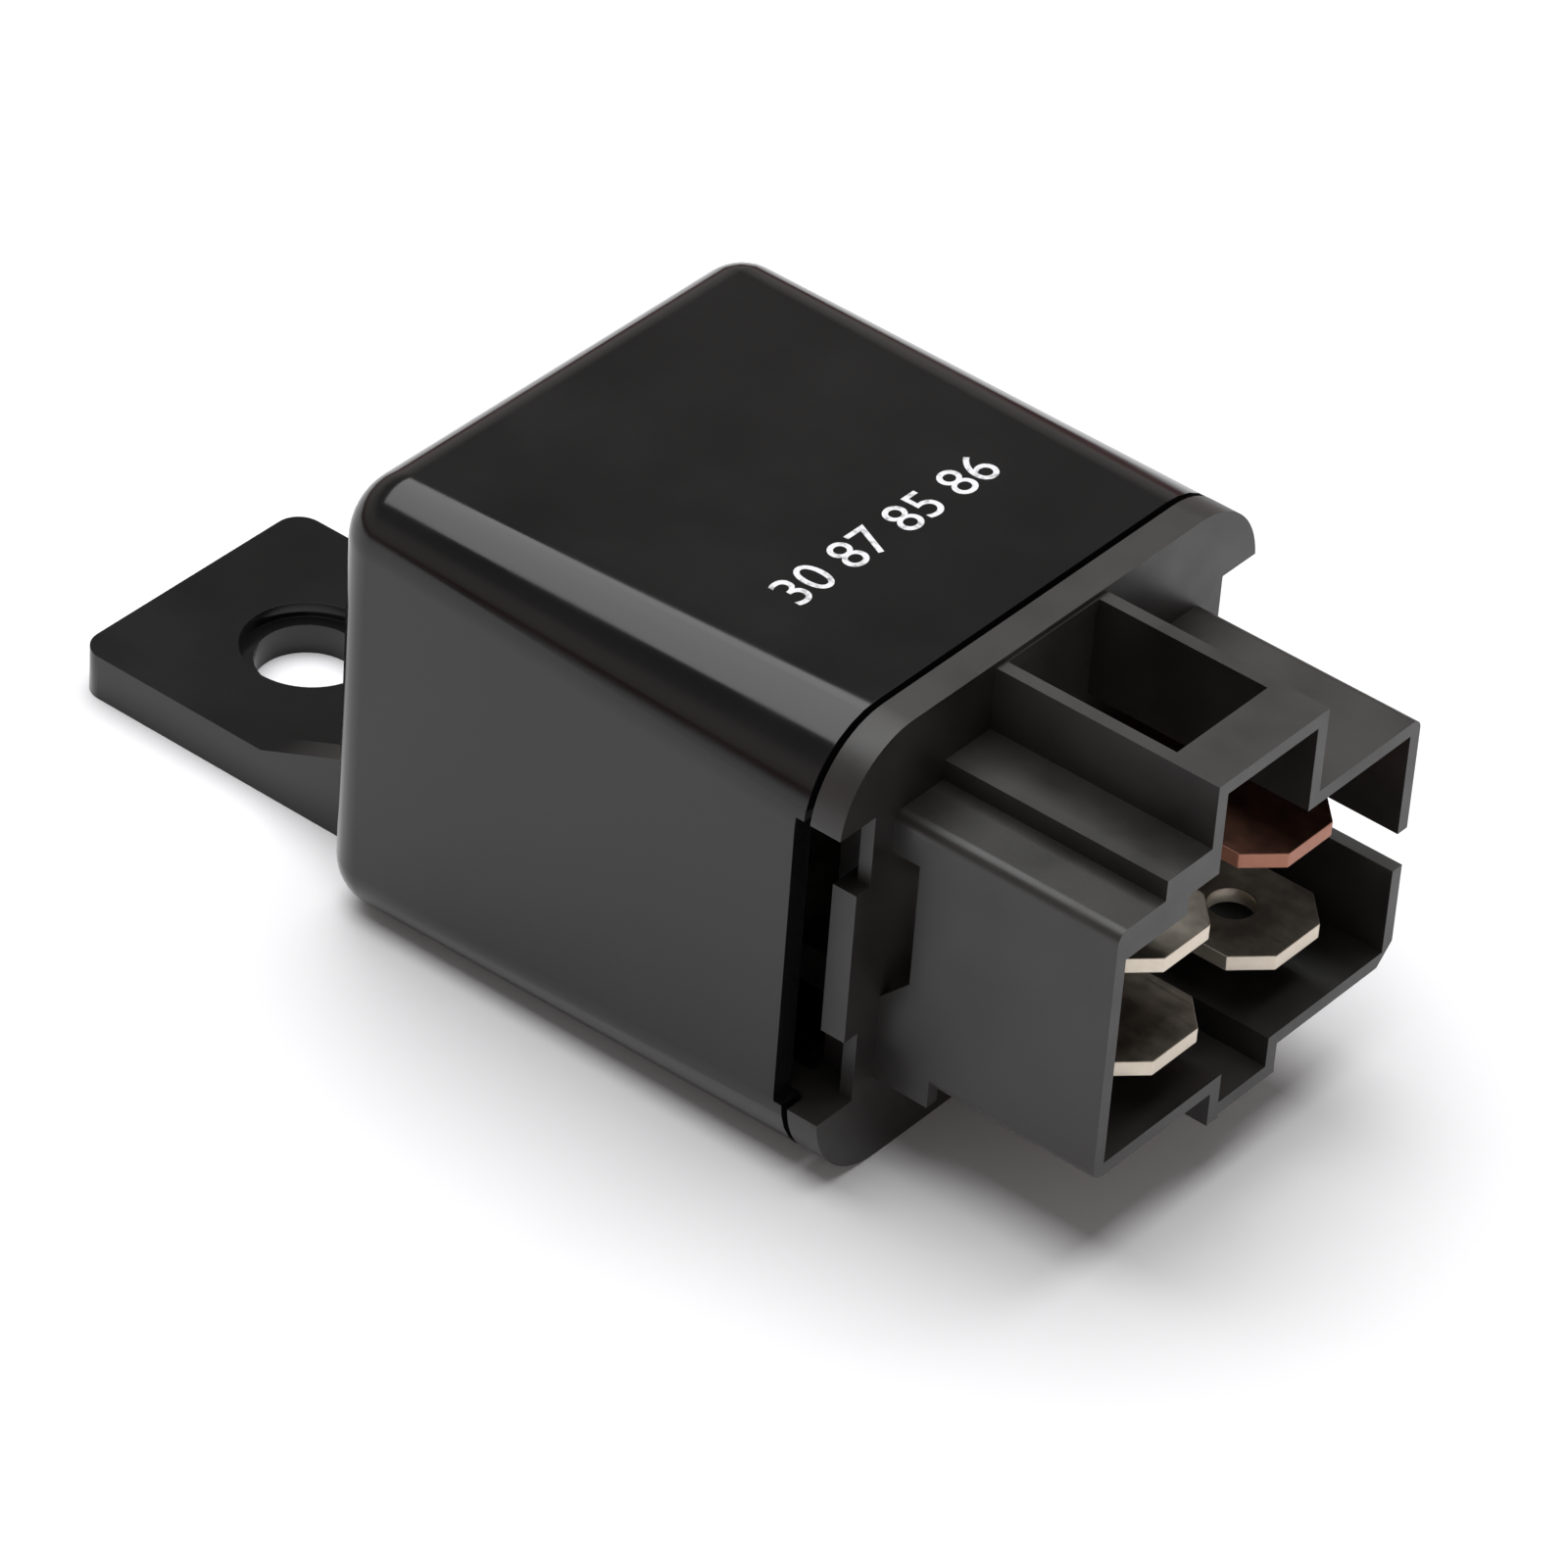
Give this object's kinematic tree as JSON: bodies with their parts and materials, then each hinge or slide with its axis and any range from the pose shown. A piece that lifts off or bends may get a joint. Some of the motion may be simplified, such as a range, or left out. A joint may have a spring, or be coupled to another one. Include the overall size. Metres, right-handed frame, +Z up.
{
  "type": "automotive relay",
  "caption": "Plug-in power relay: black moulded cover with a drilled mounting ear, keyed plug shroud round flat blade terminals, hinged-armature coil mechanism inside.",
  "frame": {"origin": "middle of the cover's flat underside, which is also the plane of the ear's underside", "axes": "+X from the mounting ear to the open end of the plug shroud, +Z up from the underside, +Y to the side of the load terminals"},
  "size_m": [0.0602, 0.029, 0.0237],
  "materials": {
    "cover_plastic": "moulded, semi-gloss black",
    "base_plastic": "moulded, satin black",
    "tinned_brass": "tin-plated, dull",
    "bare_copper": "bare copper, oxidised brown",
    "bobbin_plastic": "natural nylon",
    "copper_winding": "enamelled copper wire",
    "coil_tape": "polyester tape",
    "plated_steel": "zinc-plated",
    "spring_steel": "drawn wire",
    "spring_bronze": "rolled phosphor bronze",
    "silver_contact": "silver alloy, turned",
    "rivet_brass": "plain brass",
    "resistor_body": "coated film resistor"
  },
  "bodies": {
    "housing": {"cover": "cover_plastic", "base": "base_plastic", "terminal_30": "tinned_brass", "terminal_87": "bare_copper", "terminal_85": "tinned_brass", "terminal_86": "tinned_brass", "bobbin": "bobbin_plastic", "winding": "copper_winding", "coil_tape": "coil_tape", "core": "plated_steel", "yoke": "plated_steel", "fixed_contact": "silver_contact", "back_stop": "plated_steel", "return_spring": "spring_steel", "pigtail": "bare_copper", "terminal_rivets": "rivet_brass", "suppression_resistor": "resistor_body", "coil_lead_start": "copper_winding", "coil_lead_finish": "copper_winding"},
    "moving_armature": {"armature": "plated_steel", "contact_spring": "spring_bronze", "moving_contact": "silver_contact", "armature_rivets": "rivet_brass"}
  },
  "joints": [
    {"name": "armature_hinge", "type": "hinge", "parent": "housing", "child": "moving_armature", "pos_m": [-0.00825, -0.0104, 0.01197], "axis": [0, 0, -1], "range_deg": [0, 2.5], "stiffness_Nm_per_rad": 0.02, "springref_deg": -5.73}
  ]
}
